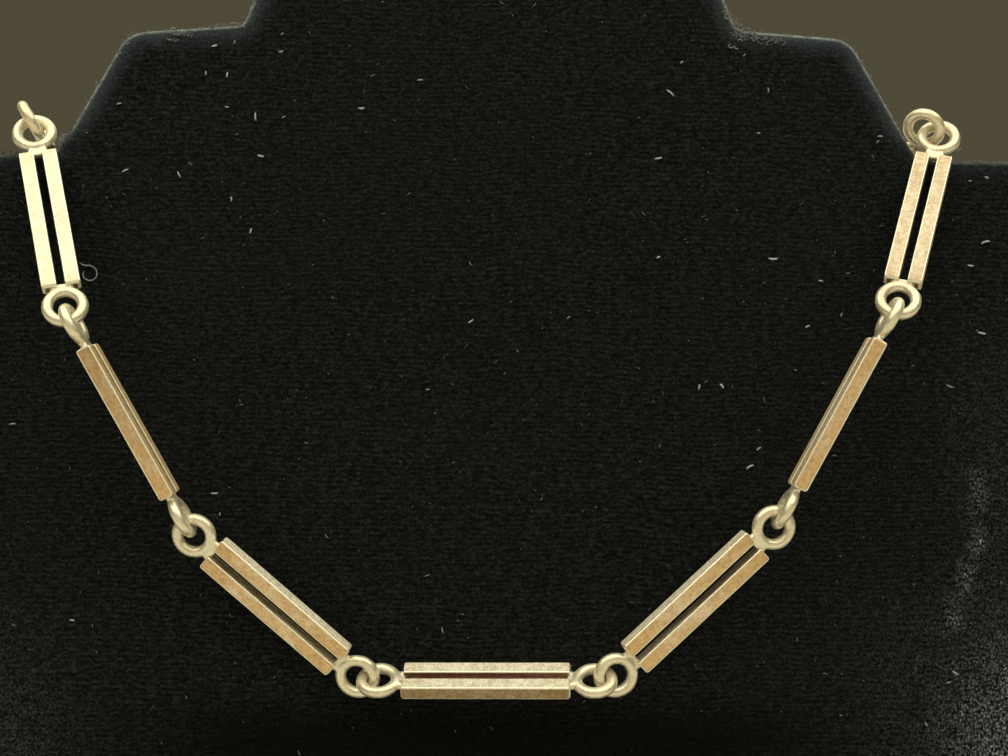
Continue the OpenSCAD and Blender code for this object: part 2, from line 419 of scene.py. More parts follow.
def silver_piece(node, points, faces, axes, middle, offset, values, rose):
    """Puts a silver solid in the place of its node. Values: what each face gets, and ring, 1 for the rings' metal."""
    piece = mesh_object(f"{node}_silver", (points @ axes + middle) * MM, faces)
    mesh = piece.data
    give_attribute(mesh, "along_mm", points + [0, 0, offset], "FLOAT_VECTOR")
    for name in FACE_VALUES:
        give_attribute(mesh, name, values[name], domain="FACE")
    give_attribute(mesh, "front_mm", -(points @ axes)[:, 1])
    give_attribute(mesh, "rose", [rose] * len(points))
    set_soft_normals(mesh)
    mesh.materials.append(BAR_SILVER)
    mesh.materials.append(RING_SILVER)
    mesh.polygons.foreach_set("material_index", np.asarray(values["ring"], np.int32))
    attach(piece, "root")
    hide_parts(node)


def make_link(number, node):
    axes, middle, first, last = measure_link(node)
    seed = 100 + 10 * number
    look = PLAIN_LOOK | LOOKS.get(node, {})
    rise = BAR_NORMALS @ axes[:, 2]
    above, below, flat = rise > 0.3, rise < -0.3, ~BAR_ON_EDGE
    fade = look["fade"] * (0.5 - BAR_MIDDLES[:, 0] / BAR_LEN)
    flat_matt = np.where(above, look["matt"], np.where(below, MATT["below"], MATT["ahead"]))
    edge_matt = np.where(rise > 0.35, look["ridge"], MATT["edges"])
    parts, values = [], []
    for side in (-1, 1):
        parts.append((bar(side, seed + side), BAR_FACES))
        values.append({
            "ring": 0 * rise,
            "edge": BAR_ON_EDGE,
            # tarnish by the way a face looks: partly painted light, thinner on faces that look up, deeper on those that
            # look down
            "tarnish": np.where(above, look["above"], np.where(below, look["below"], look["ahead"])),
            "matt": np.where(flat, flat_matt, edge_matt),
            # shade: painted shade on faces that look down; gap: painted shade between the bars
            "shade": np.where(below, SHADE_BELOW, np.where(above, 0.0, fade)) * flat,
            "gap": np.where(BAR_NORMALS[:, 2] * side < -0.9, look["between"], 0.0),
        })
    of_ring = {"ring": 1, "edge": 0, "tarnish": look["rings"], "matt": MATT["rings"], "shade": 0, "gap": 0}
    for side, reach in ((-1, first), (1, last)):
        parts.append(soldered_ring(reach, side, seed + 3 + side))
        values.append({name: [value] * len(parts[-1][1]) for name, value in of_ring.items()})
    values = {name: np.concatenate([part[name] for part in values]) for name in of_ring}
    silver_piece(node, *joined(parts), axes, middle, 40 * number, values, look["rose"])


# -------- the clasp

def make_clasp():
    """A plain closed barrel with turned rims and a ring at each end."""
    node = "clasp"
    axes, middle = own_axes(node)
    local = (points_of(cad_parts[node].data) / MM - middle) @ axes.T
    low, high = local[:, 0].min(), local[:, 0].max()
    middle = middle + axes[0] * (high + low) / 2
    half = (high - low) / 2 - RING_OUT
    barrel = half - RING_OUT + 0.1
    profile = [(-barrel, 0), (-barrel, 1.3)]
    profile += [
        (-barrel + 0.5 - 0.5 * math.cos(a), 1.5 + 0.5 * math.sin(a)) for a in np.linspace(0.2, math.pi / 2, 6)
    ]
    for x, r in ((0.9, 2.0), (1.0, 1.9), (1.1, 1.9), (1.2, 2.0), (barrel - 0.12, 2.0), (barrel - 0.04, 1.93)):
        profile.append((-barrel + x, r))
    profile += [(-x, r) for x, r in reversed(profile)]
    parts = [turned(profile)]
    barrel_faces = len(parts[0][1])
    parts += [torus(-half), torus(half)]
    parts += [blob((side * (barrel + 0.02), 0, 0), (0.35, 0.8, 1.15)) for side in (-1, 1)]
    points, faces = joined(parts)
    values = dict.fromkeys(FACE_VALUES, [0] * len(faces))
    values["tarnish"] = [PLAIN_LOOK["ahead"]] * len(faces)
    values["matt"] = [MATT["rings"]] * len(faces)
    values["ring"] = [0] * barrel_faces + [1] * (len(faces) - barrel_faces)
    silver_piece(node, points, faces, axes, middle, 600, values, PLAIN_LOOK["rose"])


# -------- shader helpers

class Tree:
    """Short calls that add and join the nodes of one shader tree."""

    def __init__(self, tree):
        self.tree = tree

    def add(self, kind, inputs=None, **settings):
        node = self.tree.nodes.new(kind)
        for name, value in settings.items():
            setattr(node, name, value)
        for name, value in (inputs or {}).items():
            self.set(node.inputs[name], value)
        return node

    def set(self, socket, value):
        if isinstance(value, bpy.types.NodeSocket):
            self.tree.links.new(value, socket)
        else:
            socket.default_value = value

    def feed(self, name, value):
        """Sets or links an input of the Principled shader."""
        self.set(self.tree.nodes["Principled BSDF"].inputs[name], value)

    def math(self, operation, a, b=0.0, clamp=False):
        node = self.add("ShaderNodeMath", {0: a, 1: b}, operation=operation, use_clamp=clamp)
        return node.outputs[0]

    def times(self, a, b, clamp=False):
        return self.math("MULTIPLY", a, b, clamp)

    def plus(self, a, b, clamp=False):
        return self.math("ADD", a, b, clamp)

    def spread(self, value, low, high, to_low=0.0, to_high=1.0):
        """The value stretched from low..high to to_low..to_high, and held there."""
        node = self.add("ShaderNodeMapRange", {
            "Value": value, "From Min": low, "From Max": high, "To Min": to_low, "To Max": to_high,
        })
        return node.outputs[0]

    def mix(self, amount, a, b):
        node = self.add("ShaderNodeMix", data_type="RGBA")
        self.set(node.inputs[0], amount)
        self.set(node.inputs[6], a)
        self.set(node.inputs[7], b)
        return node.outputs[2]

    def noise(self, place, scale, detail=3.0, rough=0.5, twist=0.0):
        node = self.add("ShaderNodeTexNoise", {
            "Vector": place, "Scale": scale, "Detail": detail, "Roughness": rough, "Distortion": twist,
        })
        return node.outputs[0]

    def beads(self, place, spacing, stagger):
        """Round beads in jittered rows: 1 in the middle of each, 0 around it."""
        split = self.add("ShaderNodeSeparateXYZ", {0: place}).outputs
        across, up = self.math("DIVIDE", split[0], spacing[0]), self.math("DIVIDE", split[2], spacing[1])
        flat = self.add("ShaderNodeCombineXYZ", {"X": across, "Y": up}).outputs[0]
        inputs = {"Vector": flat, "Scale": 1.0, "Randomness": stagger}
        node = self.add("ShaderNodeTexVoronoi", inputs, voronoi_dimensions="2D")
        return self.spread(node.outputs["Distance"], 0.06, 0.52, 1.0, 0.0)

    def stretched(self, place, factors):
        node = self.add("ShaderNodeVectorMath", {0: place, 1: factors}, operation="MULTIPLY")
        return node.outputs[0]

    def attribute(self, name, output="Fac"):
        node = self.add("ShaderNodeAttribute", attribute_name=name)
        return node.outputs[output]

    def bump(self, height, strength, distance_mm):
        node = self.add("ShaderNodeBump", {"Strength": strength, "Distance": distance_mm * MM, "Height": height})
        return node.outputs[0]


def new_group(name, inputs, outputs):
    """A node group of values, where an input called Place is a vector. Also its tree helper, inputs and outputs."""
    group = bpy.data.node_groups.new(name, "ShaderNodeTree")
    for title in inputs:
        kind = "NodeSocketVector" if title == "Place" else "NodeSocketFloat"
        group.interface.new_socket(title, in_out="INPUT", socket_type=kind)
    for title in outputs:
        group.interface.new_socket(title, in_out="OUTPUT", socket_type="NodeSocketFloat")
    start = group.nodes.new("NodeGroupInput").outputs
    end = group.nodes.new("NodeGroupOutput").inputs
    return group, Tree(group), start, end


def use_group(tree, group, **inputs):
    node = tree.add("ShaderNodeGroup", node_tree=group)
    for name, value in inputs.items():
        tree.set(node.inputs[name.replace("_", " ")], value)
    return node.outputs


def new_material(name, **settings):
    """A material with its Principled shader set to the given constants, and its tree helper."""
    material = bpy.data.materials.new(name)
    material.use_nodes = True
    tree = Tree(material.node_tree)
    for title, value in settings.items():
        tree.feed(title.replace("_", " "), value)
    return material, tree


# -------- shared effects

def make_tarnish_group():
    """Cloudy patches and fine specks of tarnish. Depth says how much of the surface they take."""
    inputs = ("Place", "Depth", "Patch size", "Speck size")
    group, tree, start, end = new_group("Tarnish", inputs, ("Patches", "Specks", "Height"))
    patch_scale = tree.math("DIVIDE", 1.0, start["Patch size"])
    speck_scale = tree.math("DIVIDE", 1.0, start["Speck size"])
    cloud = tree.noise(start["Place"], patch_scale, 4.0, 0.62, 0.6)
    specks = tree.noise(start["Place"], speck_scale, 2.0, 0.6)
    floor = tree.plus(tree.times(start["Depth"], -0.35), 0.62)
    ceiling = tree.plus(floor, 0.22)
    tree.set(end["Patches"], tree.spread(cloud, floor, ceiling))
    tree.set(end["Specks"], tree.spread(specks, 0.52, 0.7))
    tree.set(end["Height"], tree.times(cloud, specks))
    return group


def make_scratch_group():
    """Fine rubbed lines that run along the piece."""
    inputs = ("Place", "Spacing", "Stretch")
    group, tree, start, end = new_group("Rubbed lines", inputs, ("Lines", "Height"))
    scale = tree.math("DIVIDE", 1.0, start["Spacing"])
    shrink = tree.math("DIVIDE", 1.0, start["Stretch"])
    factors = tree.add("ShaderNodeCombineXYZ", {"X": shrink, "Y": 1.0, "Z": 1.0}).outputs[0]
    lines = tree.noise(tree.stretched(start["Place"], factors), scale, 3.0, 0.6)
    tree.set(end["Lines"], tree.spread(lines, 0.45, 0.65))
    tree.set(end["Height"], lines)
    return group


def make_dust_group():
    """Pale dust that gathers in small uneven patches."""
    group, tree, start, end = new_group("Dust", ("Place", "Size", "Amount"), ("Mask",))
    scale = tree.math("DIVIDE", 1.0, start["Size"])
    grains = tree.noise(start["Place"], scale, 5.0, 0.7)
    drift = tree.noise(start["Place"], tree.times(scale, 0.07), 2.0)
    edge = tree.math("SUBTRACT", 0.78, tree.times(drift, 0.25))
    mask = tree.spread(grains, edge, tree.plus(edge, 0.1))
    tree.set(end["Mask"], tree.times(mask, start["Amount"]))
    return group


TARNISH_GROUP = make_tarnish_group()
SCRATCH_GROUP = make_scratch_group()
DUST_GROUP = make_dust_group()


# -------- materials

# colour of the edges: pale wear with a painted highlight
WORN_EDGE_AND_HIGHLIGHT = (1.0, 0.97, 0.88, 1)
# red-brown of the painted shade between the bars
RED_SHADE_BETWEEN = (0.30, 0.13, 0.09, 1)


def silver_material(name, clean, warm, brown, shade_colour, rough, patch, speck, frost, rose):
    """Old silver: clean metal under warm patches and brown specks, painted shade below and between the bars, and
    brighter edges from wear and a painted highlight.
    """
    material, tree = new_material(name, Specular_IOR_Level=0.5)
    place = tree.attribute("along_mm", "Vector")
    ends = tree.math("ABSOLUTE", tree.add("ShaderNodeSeparateXYZ", {0: place}).outputs[0])
    depth = tree.plus(tree.attribute("tarnish"), tree.spread(ends, 6.0, 12.0, 0.0, 0.22))
    drawn = tree.stretched(place, (0.5, 1.0, 1.0))
    tarnish = use_group(tree, TARNISH_GROUP, Place=drawn, Depth=depth, Patch_size=patch, Speck_size=speck)
    lines = use_group(tree, SCRATCH_GROUP, Place=place, Spacing=0.25, Stretch=14.0)
    cloudy = tree.spread(tarnish["Patches"], 0.1, 0.8, 0.72, 1.18)
    colour = tree.mix(tree.times(tree.plus(depth, 0.04), cloudy, clamp=True), clean, warm)
    bloom = tree.plus(tree.attribute("rose"), rose)
    bloom = tree.times(bloom, tree.spread(tree.noise(drawn, 0.55, 4.0, 0.6, 0.5), 0.38, 0.62), clamp=True)
    colour = tree.mix(bloom, colour, (0.60, 0.42, 0.38, 1))
    # frosty mottling, coarse and fine
    coarse, fine = tree.noise(place, 1.5, 4.0, 0.65, 0.4), tree.noise(place, 4.2, 2.0, 0.6)
    mottle = tree.plus(tree.times(coarse, 0.6), tree.times(fine, 0.4))
    frosty = tree.times(tree.plus(tree.attribute("matt"), 0.35), frost)
    frosty = tree.times(tree.spread(mottle, 0.42, 0.58, 1.0, 0.0), frosty, clamp=True)
    colour = tree.mix(frosty, colour, tree.mix(0.6, colour, brown))
    # painted shade: faces that look down, and the gap between the bars, darker further in
    gap = tree.attribute("gap")
    shade_colour = tree.mix(tree.spread(gap, 1.0, 1.4), shade_colour, RED_SHADE_BETWEEN)
    inner = tree.spread(tree.attribute("front_mm"), 0.1, 1.0, 1.05, 0.4)
    gap = tree.times(tree.math("MINIMUM", gap, 0.95), inner)
    shade = tree.math("MAXIMUM", tree.attribute("shade"), gap)
    shade = tree.times(shade, tree.spread(mottle, 0.38, 0.62, 1.15, 0.7), clamp=True)
    colour = tree.mix(shade, colour, shade_colour)
    spots = tree.times(tarnish["Specks"], tree.spread(tarnish["Patches"], 0.0, 0.6))
    spots = tree.times(spots, tree.plus(tree.times(depth, 0.25), 0.3), clamp=True)
    colour = tree.mix(spots, colour, brown)
    # edges paler: wear and a painted highlight
    on_edge = tree.attribute("edge")
    colour = tree.mix(tree.times(on_edge, 0.95), colour, WORN_EDGE_AND_HIGHLIGHT)
    tree.feed("Base Color", colour)
    tree.feed("Metallic", tree.math("SUBTRACT", 1.0, tree.attribute("matt")))
    roughness = tree.plus(tree.times(tarnish["Patches"], 0.12), rough)
    roughness = tree.plus(roughness, tree.times(lines["Lines"], 0.05))
    roughness = tree.math("SUBTRACT", roughness, tree.times(on_edge, 0.12))
    tree.feed("Roughness", roughness)
    height = tree.plus(tarnish["Height"], tree.times(lines["Height"], 0.35))
    height = tree.plus(height, tree.times(mottle, 1.2))
    tree.feed("Normal", tree.bump(height, 0.6, 0.03))
    return material


BAR_SILVER = silver_material(
    "silver_bars",
    clean=(1.0, 0.97, 0.89, 1), warm=(0.84, 0.585, 0.315, 1), brown=(0.36, 0.21, 0.10, 1),
    shade_colour=(0.24, 0.165, 0.080, 1), rough=0.33, patch=1.4, speck=0.28, frost=0.66, rose=0.0,
)
RING_SILVER = silver_material(
    "silver_rings",
    clean=(0.98, 0.96, 0.86, 1), warm=(0.86, 0.74, 0.49, 1), brown=(0.38, 0.24, 0.13, 1),
    shade_colour=(0.25, 0.17, 0.10, 1), rough=0.26, patch=1.1, speck=0.26, frost=0.34, rose=0.08,
)


ROW_SPACING = 0.7  # of the pile's rows, in mm


def velvet_material():
    """Short black pile in fine level rows, with dust, rubbed grey patches with painted sheen, and a painted pale sheen
    on the rim.
    """
    material, tree = new_material(
        "black_velvet", Roughness=0.95, Specular_IOR_Level=0.1, Sheen_Weight=0.05, Sheen_Roughness=0.4,
        Sheen_Tint=(0.6, 0.66, 0.7, 1),
    )
    place = tree.attribute("board_mm", "Vector")
    split = tree.add("ShaderNodeSeparateXYZ", {0: place}).outputs
    sway = tree.noise(place, 0.045, 2.0)
    wobble = tree.noise(tree.stretched(place, (0.35, 0.3, 0.5)), 1.0, 2.0)
    phase = tree.times(split[2], 2 * math.pi / ROW_SPACING)
    phase = tree.plus(phase, tree.times(sway, 26.0))
    phase = tree.plus(phase, tree.times(wobble, 6.0))
    rows = tree.math("SINE", phase)
    dashes = tree.noise(tree.stretched(place, (0.9, 1.0, 2.2)), 1.05, 4.0, 0.68, 0.3)
    tufts = tree.noise(place, 3.4, 3.0, 0.65)
    depth = tree.plus(tree.times(dashes, 0.5), tree.times(tufts, 0.5))
    depth = tree.plus(depth, tree.times(rows, 0.023))
    lift = tree.math("POWER", tree.spread(depth, 0.40, 0.66), 1.7)
    pile = tree.mix(tree.attribute("cool"), (0.0265, 0.0288, 0.0320, 1), (0.0265, 0.0308, 0.0425, 1))
    colour = tree.mix(lift, (0.0004, 0.0004, 0.0005, 1), pile)
    drift = tree.noise(place, 0.03, 3.0, 0.5)
    colour = tree.mix(tree.spread(drift, 0.35, 0.7, 0.0, 0.12), colour, (0.008, 0.0088, 0.0095, 1))
    # grey grains where the pile has been rubbed, with painted sheen at the lower corners and sides
    beads = tree.plus(tree.times(tree.beads(place, (0.42, 0.52), 0.85), 0.26), tufts)
    grains = tree.math("POWER", tree.spread(beads, 0.42, 0.86), 1.9)
    uneven = tree.spread(tree.noise(place, 0.35, 3.0, 0.6), 0.3, 0.6, 0.45, 1.0)
    rubbed_and_sheen = tree.times(tree.attribute("rubbed_pile_and_sheen"), uneven, clamp=True)
    rubbed_and_sheen = tree.plus(rubbed_and_sheen, tree.times(tree.attribute("streak"), 0.52), clamp=True)
    colour = tree.mix(tree.times(rubbed_and_sheen, grains), colour, (0.40, 0.44, 0.52, 1))
    # the rim: painted sheen, a grey glow over its curve and a pale, broken highlight line at its very edge
    inset = tree.attribute("inset")
    broken = tree.spread(tree.noise(place, 1.1, 4.0, 0.7), 0.40, 0.62, 0.2, 1.0)
    rim_light = tree.attribute("rim_light")
    rim_sheen = tree.math("POWER", tree.spread(inset, 0.0, 4.4, 1.0, 0.0), 2.2)
    rim_sheen = tree.times(rim_sheen, tree.spread(tufts, 0.3, 0.7, 0.4, 1.0))
    colour = tree.mix(tree.times(rim_sheen, rim_light), colour, (0.072, 0.090, 0.128, 1))
    line = tree.times(tree.spread(inset, 0.1, 0.7, 1.0, 0.0), broken)
    colour = tree.mix(tree.times(line, rim_light), colour, (0.34, 0.37, 0.40, 1))
    # painted shade over the bottom middle
    colour = tree.mix(tree.times(tree.attribute("shaded"), 0.82), colour, (0.0004, 0.0004, 0.0004, 1))
    dust = use_group(tree, DUST_GROUP, Place=place, Size=0.35, Amount=0.3)
    colour = tree.mix(dust["Mask"], colour, (0.09, 0.095, 0.085, 1))
    tree.feed("Base Color", colour)
    tree.feed("Normal", tree.bump(depth, 0.5, 0.1))
    return material


def paper_material():
    """Matt black covering paper with a fine grain, faint clouds and dust."""
    material, tree = new_material("black_paper", Roughness=0.62, Specular_IOR_Level=0.35)
    place = tree.attribute("board_mm", "Vector")
    grain = tree.noise(place, 3.0, 4.0, 0.6)
    cloud = tree.noise(place, 0.08, 3.0, 0.55)
    colour = tree.mix(tree.spread(grain, 0.35, 0.7), (0.022, 0.020, 0.019, 1), (0.036, 0.034, 0.031, 1))
    colour = tree.mix(tree.spread(cloud, 0.45, 0.75, 0.0, 0.5), colour, (0.05, 0.047, 0.042, 1))
    dust = use_group(tree, DUST_GROUP, Place=place, Size=0.4, Amount=0.25)
    colour = tree.mix(dust["Mask"], colour, (0.16, 0.155, 0.14, 1))
    tree.feed("Base Color", colour)
    tree.feed("Roughness", tree.spread(cloud, 0.3, 0.7, 0.55, 0.7))
    tree.feed("Normal", tree.bump(grain, 0.5, 0.05))
    return material


def lint_material():
    """Pale lint with slightly differing tones."""
    material, tree = new_material("lint", Roughness=0.9, Specular_IOR_Level=0.1)
    tone = tree.attribute("tone")
    tree.feed("Base Color", tree.mix(tone, (0.04, 0.042, 0.05, 1), (0.46, 0.48, 0.58, 1)))
    return material


VELVET = velvet_material()
PAPER = paper_material()
LINT = lint_material()


# -------- the velvet display

RIM = 1.3  # how far the rounded rim reaches in and back
SIDE_OUT = 1.4  # where the rim starts to curve to the back
BACK_OUT = 2.7  # where the flat back lies, under the card
OUTLINE = [
    # half width, height and corner radius, from the top of the neck down to below the floor
    (30, 200, 10), (32.5, 184, 30), (35.2, 176.5, 1.5), (51.5, 175.3, 4.5),
    (60.9, 157.4, 1), (82, 157.4, 6), (78, -8, 2),
]
SKEW = math.radians(0.4)
SHOULDER_MID = 166


def smoothstep(low, high, value):
    t = np.clip((value - low) / (high - low), 0, 1)
    return t * t * (3 - 2 * t)


def unit(v):
    return v / np.linalg.norm(v)


def whole_outline(corners):
    """Both sides of a half outline, clockwise from the top right, turned by the display's small skew."""
    line = corners + [(-x, up, r) for x, up, r in reversed(corners)]
    c, s = math.cos(SKEW), math.sin(SKEW)
    return [(x * c - (up - SHOULDER_MID) * s, SHOULDER_MID + x * s + (up - SHOULDER_MID) * c, r) for x, up, r in line]


def rounded(corners, steps=12):
    """The points of a closed outline whose corners (x, up, radius) are rounded."""
    line = []
    for k, (x, up, r) in enumerate(corners):
        here = np.array((x, up))
        to_last = unit(np.array(corners[k - 1][:2]) - here)
        to_next = unit(np.array(corners[(k + 1) % len(corners)][:2]) - here)
        half = math.acos(to_last @ to_next) / 2
        middle = here + unit(to_last + to_next) * r / math.sin(half)
        start = here + to_last * r / math.tan(half) - middle
        stop = here + to_next * r / math.tan(half) - middle
        line += [middle + r * unit(start * (1 - t) + stop * t) for t in np.linspace(0, 1, steps + 1)]
    return np.array(line)


def evenly(line, spacing):
    """A closed line with its points at even distances."""
    closed = np.vstack([line, line[:1]])
    run = np.concatenate([[0], np.cumsum(np.linalg.norm(np.diff(closed, axis=0), axis=1))])
    places = np.linspace(0, run[-1], int(run[-1] / spacing), endpoint=False)
    return np.stack([np.interp(places, run, closed[:, 0]), np.interp(places, run, closed[:, 1])], 1)


def outward(line):
    """The outward direction at each point of a clockwise closed line."""
    t = np.roll(line, -1, 0) - np.roll(line, 1, 0)
    t /= np.linalg.norm(t, axis=1)[:, None]
    return np.stack([-t[:, 1], t[:, 0]], 1)


def distance_to(line, places):
    """How far each place is from the nearest point of the line."""
    best = np.full(len(places), 1e9)
    for start in range(0, len(line), 200):
        part = line[start:start + 200]
        away = ((places[:, None] - part[None]) ** 2).sum(2).min(1)
        best = np.minimum(best, away)
    return np.sqrt(best)


def inside(line, places):
    """Which places lie inside a closed line."""
    x, up = places[:, 0], places[:, 1]
    result = np.zeros(len(places), bool)
    for (ax, ay), (bx, by) in zip(line, np.roll(line, -1, 0)):
        if ay == by:
            continue
        crosses = (ay > up) != (by > up)
        result ^= crosses & (x < (bx - ax) * (up - ay) / (by - ay) + ax)
    return result


def filled(line, spacing, seed):
    """Points and triangles that fill a closed line. Its own points come first."""
    rng = np.random.default_rng(seed)
    low, high = line.min(0), line.max(0)
    across, upward = (np.arange(low[k], high[k], spacing) for k in (0, 1))
    grid = np.array([(x, up) for x in across for up in upward])
    grid += rng.uniform(-0.25, 0.25, grid.shape) * spacing
    grid = grid[inside(line, grid)]
    grid = grid[distance_to(line, grid) > spacing * 0.7]
    points = np.vstack([line, grid])
    edges = [(k, (k + 1) % len(line)) for k in range(len(line))]
    _, _, triangles, origin, *_ = delaunay_2d_cdt([Vector(p) for p in points], edges, [], 1, 1e-5)
    index = [ids[0] for ids in origin]
    return points, [tuple(index[k] for k in face) for face in triangles]


def skin(rows, front, back):
    """Joins rows of points around a rim, and the triangles inside the first and the last row, to one closed skin."""
    count = len(rows[0])
    points = np.concatenate(list(rows) + [front[0], back[0]])
    faces = []
    for k in range(len(rows) - 1):
        faces += band(k * count, (k + 1) * count, count)
    start = len(rows) * count
    for first_row, (inner, triangles), flip in ((0, front, False), ((len(rows) - 1) * count, back, True)):
        for face in triangles:
            face = tuple(first_row + k if k < count else start + k - count for k in face)
            faces.append(face[::-1] if flip else face)
        start += len(inner)
    return points, faces


def cut_at_floor(piece):
    """Takes away what is below the floor and closes the cut."""
    bm = bmesh.new()
    bm.from_mesh(piece.data)
    everything = list(bm.verts) + list(bm.edges) + list(bm.faces)
    cut = bmesh.ops.bisect_plane(bm, geom=everything, plane_co=(0, 0, 0), plane_no=(0, 0, 1), clear_inner=True)
    rim = [e for e in cut["geom_cut"] if isinstance(e, bmesh.types.BMEdge)]
    bmesh.ops.holes_fill(bm, edges=rim, sides=0)
    bmesh.ops.recalc_face_normals(bm, faces=bm.faces)
    bm.to_mesh(piece.data)
    bm.free()


EDGE = evenly(rounded(whole_outline(OUTLINE)), 0.7)
# A thin rubbed streak at the right, from its top down
STREAK = [(68.8, 118.0), (68.2, 107.5), (67.3, 103.0), (65.8, 98.0), (64.0, 93.0)]


def wrapped(line, rows, spacings, seeds):
    """A closed skin round a line, by rows of (inset, out) from its front to its back, with both flat sides filled."""
    away = outward(line)
    lines = [line - away * inset for inset, _ in rows]
    rings = [np.stack([a[:, 0], np.full(len(a), out), a[:, 1]], 1) for a, (_, out) in zip(lines, rows)]
    sides = []
    for k, spacing, seed in zip((0, -1), spacings, seeds):
        flat, triangles = filled(lines[k], spacing, seed)
        sides.append((np.array([(x, rows[k][1], up) for x, up in flat[len(line):]]), triangles))
    return skin(rings, *sides)


def make_velvet():
    """Velvet drawn over the board: flat front, rounded rim, flat back that lies under the backing card."""
    rows = []
    for turn in np.radians([0, 15, 30, 45, 58, 70, 80, 90]):
        rows.append((RIM * (1 - math.sin(turn)), RIM * (1 - math.cos(turn))))
    for turn in np.radians([12, 30, 50, 70, 90]):
        rows.append((RIM * (1 - math.cos(turn)), SIDE_OUT + (BACK_OUT - SIDE_OUT) * math.sin(turn)))
    points, faces = wrapped(EDGE, rows, (1.9, 7.0), (5, 6))
    x, out, up = points.T
    dip = smoothstep(1.2, 0.2, out) * 0.12 * (1 + waves(points * [1, 0, 1], 7, 45.0))
    world = [on_display(a, b + d, c) for (a, b, c), d in zip(points, dip)]
    piece = mesh_object("velvet_cover", world, faces)
    cut_at_floor(piece)
    mesh = piece.data
    flat = upright(points_of(mesh))
    x, out, up = flat.T
    face_on = flat[:, [0, 2]]
    # greyer rubbed pile with painted sheen, strongest at the lower right corner
    corner = smoothstep(52, 78, x) ** 1.3 * smoothstep(97, 76, up)
    low_right = 0.13 * smoothstep(44, 66, x) * smoothstep(102, 88, up)
    right = 0.09 * smoothstep(60, 70, x) * smoothstep(145, 110, up)
    left = 0.12 * smoothstep(-50, -66, x) * smoothstep(100, 78, up)
    rubbed_pile_and_sheen = (np.maximum(corner, low_right) + right + left) * smoothstep(2.0, 1.0, out)
    track = evenly(np.array(STREAK + STREAK[-2:0:-1]), 0.3)
    give_attribute(mesh, "board_mm", flat, "FLOAT_VECTOR")
    for name, values in {
        "inset": distance_to(EDGE, face_on),
        "rubbed_pile_and_sheen": np.clip(rubbed_pile_and_sheen, 0, 1),
        "streak": smoothstep(0.95, 0.0, distance_to(track, face_on)),
        "cool": smoothstep(30, 78, np.hypot(x, up - 135)),
        # where the painted shade over the bottom middle lies
        "shaded": smoothstep(85, 77.5, up) * smoothstep(56, 30, np.abs(x)),
        # how strong the painted rim sheen is, full on the shoulders
        "rim_light": 0.32 + 0.68 * smoothstep(158.5, 162, up),
    }.items():
        give_attribute(mesh, name, values)
    mesh.materials.append(VELVET)
    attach(piece, "root")
    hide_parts("display_board")
    return piece


CARD = [(23, 191, 4), (24.5, 181, 10), (27, 167.5, 2), (45.5, 166.5, 3), (56, 148.5, 2), (72.5, 148.5, 4), (70, 6, 3)]


def make_card():
    """Black paper card glued to the back, over the turned-in edge of the velvet."""
    line = evenly(rounded(whole_outline(CARD), 6), 1.2)
    points, faces = wrapped(line, [(0.0, 2.55), (0.0, 2.93), (0.07, BOARD_T)], (9.0, 9.0), (8, 8))
    piece = mesh_object("backing_card", [on_display(*p) for p in points], faces, smooth=False)
    give_attribute(piece.data, "board_mm", points, "FLOAT_VECTOR")
    piece.data.materials.append(PAPER)
    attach(piece, "root")
    return piece


def dress_leg():
    """Covers the CAD leg with the card's paper."""
    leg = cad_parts["easel_leg"]
    give_attribute(leg.data, "board_mm", upright(points_of(leg.data)), "FLOAT_VECTOR")
    leg.data.materials.clear()
    leg.data.materials.append(PAPER)


# -------- lint and loose pile

class Fibres:
    """Gathers many thin threads to one object."""

    def __init__(self):
        self.points, self.faces, self.tones = [], [], []

    def add(self, path, radius, tone, sides=4):
        """A thread along a path of (x, out, up) points, thin at both ends."""
        path = np.array(path, float)
        along = np.gradient(path, axis=0)
        along /= np.maximum(np.linalg.norm(along, axis=1), 1e-9)[:, None]
        across = np.cross(along, (0.2, 1.0, 0.1))
        across /= np.maximum(np.linalg.norm(across, axis=1), 1e-9)[:, None]
        other = np.cross(along, across)
        start, last = len(self.points), len(path) - 1
        for k in range(len(path)):
            r = radius * (0.35 if k in (0, last) else 1.0)
            for j in range(sides):
                a = 2 * math.pi * j / sides
                self.points.append(path[k] + r * math.cos(a) * across[k] + r * math.sin(a) * other[k])
                self.tones.append(tone)
        for k in range(last):
            row = start + sides * k
            self.faces += band(row, row + sides, sides)
        self.faces.append(tuple(start + j for j in reversed(range(sides))))
        self.faces.append(tuple(start + sides * last + j for j in range(sides)))

    def speck(self, x, up, length, degrees, tone, radius, bend=0.0, out=0.06):
        """A short, nearly straight piece of lint that lies on the pile."""
        path = []
        for t in np.linspace(-0.5, 0.5, 5):
            a = math.radians(degrees) + bend * t
            path.append((x + length * t * math.cos(a), out - 0.05 * (0.25 - t * t), up + length * t * math.sin(a)))
        self.add(path, radius, tone)

    def done(self, name):
        piece = mesh_object(name, [on_display(*p) for p in self.points], self.faces)
        give_attribute(piece.data, "tone", self.tones)
        piece.data.materials.append(LINT)
        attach(piece, "root")
        return piece


